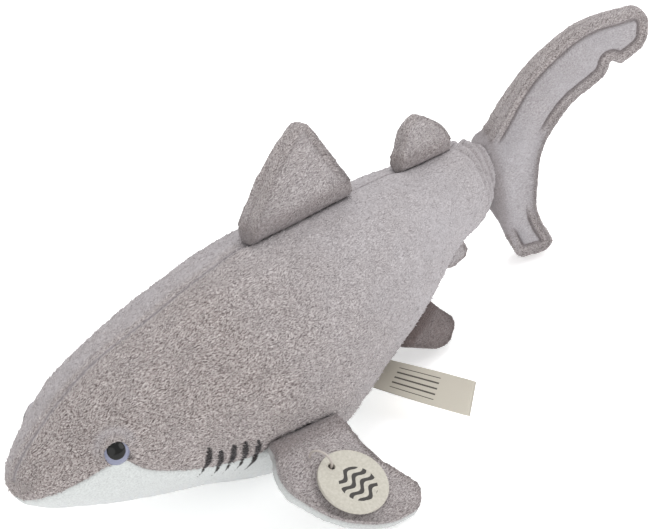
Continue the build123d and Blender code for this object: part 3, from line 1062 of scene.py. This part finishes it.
def make_tag(card):
    """A round die-cut card with softened edges and a punched hole."""
    bm = bmesh.new()
    bmesh.ops.create_circle(bm, segments=120, radius=TAG_RADIUS)
    bmesh.ops.create_circle(
        bm, segments=40, radius=HOLE_RADIUS, matrix=Matrix.Translation((HOLE_AT, 0, 0))
    )
    bmesh.ops.triangle_fill(bm, edges=bm.edges, use_beauty=True)
    made = bmesh.ops.extrude_face_region(bm, geom=bm.faces[:])
    top = [g for g in made["geom"] if isinstance(g, bmesh.types.BMVert)]
    bmesh.ops.translate(bm, vec=(0, 0, TAG_THICK), verts=top)
    bmesh.ops.translate(bm, vec=(0, 0, -TAG_THICK / 2), verts=bm.verts)
    bmesh.ops.recalc_face_normals(bm, faces=bm.faces)
    sharp = [e for e in bm.edges if len(e.link_faces) == 2 and e.calc_face_angle(0) > 0.8]
    bmesh.ops.bevel(
        bm, geom=sharp, offset=0.25 * MM, segments=2, profile=0.5, affect="EDGES", material=-1
    )
    bmesh.ops.transform(bm, matrix=tag_plane(), verts=bm.verts)
    tag = piece_from(bm, "hang_tag_card", card)
    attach(tag, "swing_tag")
    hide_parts("swing_tag")


LABEL_WIDTH = 15 * MM
LABEL_HALF_GAP = 0.42 * MM
# Degrees of twist at the seam, half way down and at the fold.
LABEL_TWISTS = (4, 20, 44)
BAR_HALF_STEP, BAR_HALF_LINE = 1.25 * MM, 0.36 * MM


def tape():
    """Woven polyester label tape, cream, with plain printed bars. Its warp threads, a third of
    a millimetre apart, give it a fine rib and a faint sheen."""
    material, tree, shader = new_material("woven_label_tape")
    uv = node(tree, "ShaderNodeUVMap", uv_map="tape").outputs[0]
    warp = node(
        tree, "ShaderNodeTexWave", {"Vector": uv, "Scale": 900, "Distortion": 0.4},
        wave_type="BANDS", bands_direction="X",
    )
    cloth = node(
        tree, "ShaderNodeValToRGB", {"Fac": warp.outputs["Fac"]},
        [(0.2, "#b9b3a6"), (0.8, "#cac5b9")],
    )
    parts = node(tree, "ShaderNodeSeparateXYZ", {0: uv})
    across, along, _ = parts.outputs
    rows = node(tree, "ShaderNodeMath", {0: across, 1: BAR_HALF_STEP}, operation="PINGPONG")
    rows = node(
        tree, "ShaderNodeMath", {0: rows.outputs[0], 1: BAR_HALF_LINE}, operation="LESS_THAN"
    )
    window = node(
        tree, "ShaderNodeMath", {0: along, 1: 20 * MM, 2: 11 * MM}, operation="COMPARE"
    )
    side = node(
        tree, "ShaderNodeMath", {0: across, 1: LABEL_WIDTH / 2, 2: 5 * MM}, operation="COMPARE"
    )
    printed = rows
    for other in (window, side):
        printed = node(
            tree, "ShaderNodeMath", {0: printed.outputs[0], 1: other.outputs[0]},
            operation="MULTIPLY",
        )
    colour = node(
        tree, "ShaderNodeMix",
        {0: printed.outputs[0], 6: cloth.outputs["Color"], 7: linear("#55504a")}, data_type="RGBA",
    )
    relief = node(
        tree, "ShaderNodeBump",
        {"Height": warp.outputs["Fac"], "Strength": 0.4, "Distance": 0.1 * MM},
    )
    tree.links.new(colour.outputs[2], shader.inputs["Base Color"])
    tree.links.new(relief.outputs[0], shader.inputs["Normal"])
    shader.inputs["Roughness"].default_value = 0.75
    shader.inputs["Sheen Weight"].default_value = 0.1
    return material


def make_label(cloth):
    """The tape folded double over itself, as its CAD strip lies."""
    origin = Vector(JOINTS["label_bend"]["pos_m"])
    x_axis = -Vector(JOINTS["label_bend"]["axis"]).normalized()
    points = [v.co for v in frame["nodes"]["side_label"].data.vertices]
    reach = sum(points, Vector()) / len(points) - origin
    y_axis = (reach - x_axis * reach.dot(x_axis)).normalized()
    z_axis = x_axis.cross(y_axis)
    length = max((p - origin).dot(y_axis) for p in points)
    width = LABEL_WIDTH
    bm = bmesh.new()
    bmesh.ops.create_grid(bm, x_segments=10, y_segments=60, size=0.5)
    layer = bm.loops.layers.uv.new("tape")
    flat = {v: (v.co.x + 0.5, v.co.y + 0.5) for v in bm.verts}
    for face in bm.faces:
        for loop in face.loops:
            across, along = flat[loop.vert]
            loop[layer].uv = (across * width, along * 2 * length)
    first, middle, last = LABEL_TWISTS
    centre = origin + x_axis * 7.5 * MM
    for v in bm.verts:
        across, along = flat[v]
        there = 1 - abs(2 * along - 1)
        twist = first + (middle - first) * min(2 * there, 1)
        twist += (last - middle) * max(2 * there - 1, 0)
        turn = math.radians(twist)
        over = 1 if along > 0.5 else -1
        gap = LABEL_HALF_GAP * over * min(1, (1 - there) * 14 + 0.05)
        sideways = x_axis * math.cos(turn) + z_axis * -math.sin(turn)
        normal = sideways.cross(y_axis)
        down = y_axis * there * (length - 0.3 * MM)
        v.co = centre + down + sideways * (across - 0.5) * width + normal * gap
    bmesh.ops.recalc_face_normals(bm, faces=bm.faces)
    label = piece_from(bm, "side_label_tape", cloth)
    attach(label, "side_label")
    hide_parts("side_label")


def finish_node(name, material):
    """Gives a CAD node that is shown as it is its material."""
    mesh = frame["nodes"][name].data
    mesh.materials.clear()
    mesh.materials.append(material)


# ---------------------------------------------------------------- the toy, piece by piece


set_camera()
set_stage()

grey = plush("grey_plush_pile", "#544a48", "#c9c2c0", "#969294", "#aeabaf", 3.2, 1.0)
# The wisps' material is paler than the cover's: real lighter tips, plus painted light that offsets
# the wisps' shade on one another.
tips = plush("grey_pile_tips", "#8f8583", "#e2dbd8", "#aaa5a7", "#bdb9bd", 3.2, 0.3)
white = plush("white_plush_pile", "#aeb0b0", "#c6c9c8", "#b9bbbb", "#c2c5c4", 2.0, 0.2)

wisp = tuft()
make_body(grey, white, tips)
make_middle_fin("dorsal", "dorsal_tilt", grey, tips, 0.9, radii=(7, 4), height_mm=36, channel=3.4,
                channel_depth=0.35, rough_in=0.62)
make_middle_fin("rear_dorsal", "rear_dorsal_tilt", grey, tips, 0.8, radii=(5, 3.6), height_mm=18,
                thin=6.0, rough_in=0.6, taper=0.28)
make_middle_fin("anal", "anal_tilt", grey, tips, 0.8, radii=(3.8, 3), height_mm=11, thin=5.0)
make_middle_fin("tail", "tail_swing", grey, tips, 0.75, end_mm=16.0, radii=(7, 3.6), height_mm=84,
                channel=4.5, channel_depth=0.9, rim_mm=1.7, rough_in=0.1, rough_rim=0.75,
                flare=0.3, plain=(6, 23, 26), soften=12)
make_side_fin("pectoral", "pectoral_lift_left", grey, tips, white, 0.9, radii=(6, 4), height_mm=49,
              rough_in=0.7, tint=0.06)
# The pelvic fin's further shade is painted shade, as it lies in the shadow under the body.
make_side_fin("pelvic", "pelvic_lift_left", grey, tips, white, 0.8, radii=(4.5, 3.4), height_mm=20,
              thin=5.0, rough_in=0.7, tint=0.75)

make_eyes(
    gloss("eye_black_acrylic", "#0c0c0b", 0.12, 1.33, 0.1),
    gloss("eye_lavender_ring", "#73768c", 0.25),
    # Painted shade: the eye's dark outer edge stands for the shade where it sinks into the pile.
    gloss("eye_edge_black", "#2a2730", 0.2),
)
for side in ("left", "right"):
    finish_node(f"eye_washer_{side}", gloss(f"washer_plastic_{side}", "#e8e6e0", 0.4))
make_tag(board())
finish_node("tag_loop", gloss("tag_thread", "#a8a09a", 0.6))
make_label(tape())

bpy.data.objects.remove(wisp)
